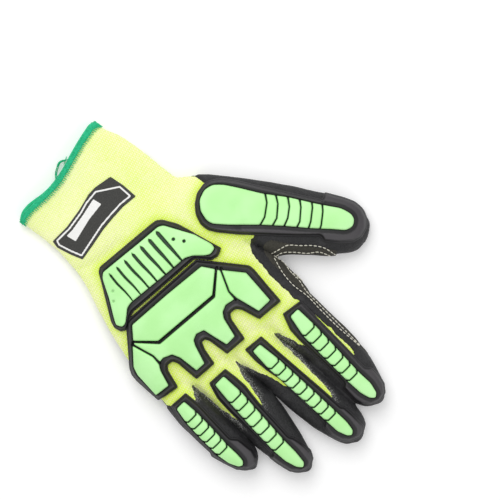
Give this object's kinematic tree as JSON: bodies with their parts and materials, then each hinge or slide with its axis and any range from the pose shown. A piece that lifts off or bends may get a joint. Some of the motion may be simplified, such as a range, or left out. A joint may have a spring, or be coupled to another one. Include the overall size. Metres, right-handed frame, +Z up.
{
  "type": "impact glove",
  "caption": "Right-hand work glove lying palm down: knitted liner with a rubber-dipped palm and moulded guards on knuckles, fingers, thumb and wrist.",
  "frame": {"origin": "on the flat underside of the palm's coating, behind the knuckles, where the glove rests", "axes": "+Y towards the fingertips, -X towards the thumb, +Z up out of the back of the hand"},
  "size_m": [0.1833, 0.2691, 0.0268],
  "materials": {
    "knit_yellow": "fine hi-vis yellow knit, matt",
    "rubber_black": "sandy dipped rubber, matt",
    "guard_black": "moulded rubber, soft satin",
    "guard_lime": "moulded rubber, satin",
    "hem_green": "overlocked thread, matt",
    "label_black": "woven label, matt",
    "patch_black": "rough synthetic suede, matt",
    "stitch_white": "twisted sewing thread"
  },
  "bodies": {
    "root": {"liner": "knit_yellow", "liner_index": "knit_yellow", "liner_middle": "knit_yellow", "liner_ring": "knit_yellow", "liner_little": "knit_yellow", "palm_coating": "rubber_black", "thumb_crotch_patch": "patch_black", "cuff_hem": "hem_green", "label": "label_black", "knuckle_base": "guard_black", "knuckle_pad_index": "guard_lime", "knuckle_pad_centre": "guard_lime", "knuckle_pad_rear": "guard_lime", "knuckle_pad_little": "guard_lime", "wrist_base": "guard_black", "wrist_pad": "guard_lime", "thumb_base": "guard_black", "thumb_pad": "guard_lime", "index_base": "guard_black", "index_pad": "guard_lime", "middle_base": "guard_black", "middle_pad": "guard_lime", "ring_base": "guard_black", "ring_pad": "guard_lime", "little_base": "guard_black", "little_pad": "guard_lime"}
  },
  "joints": []
}
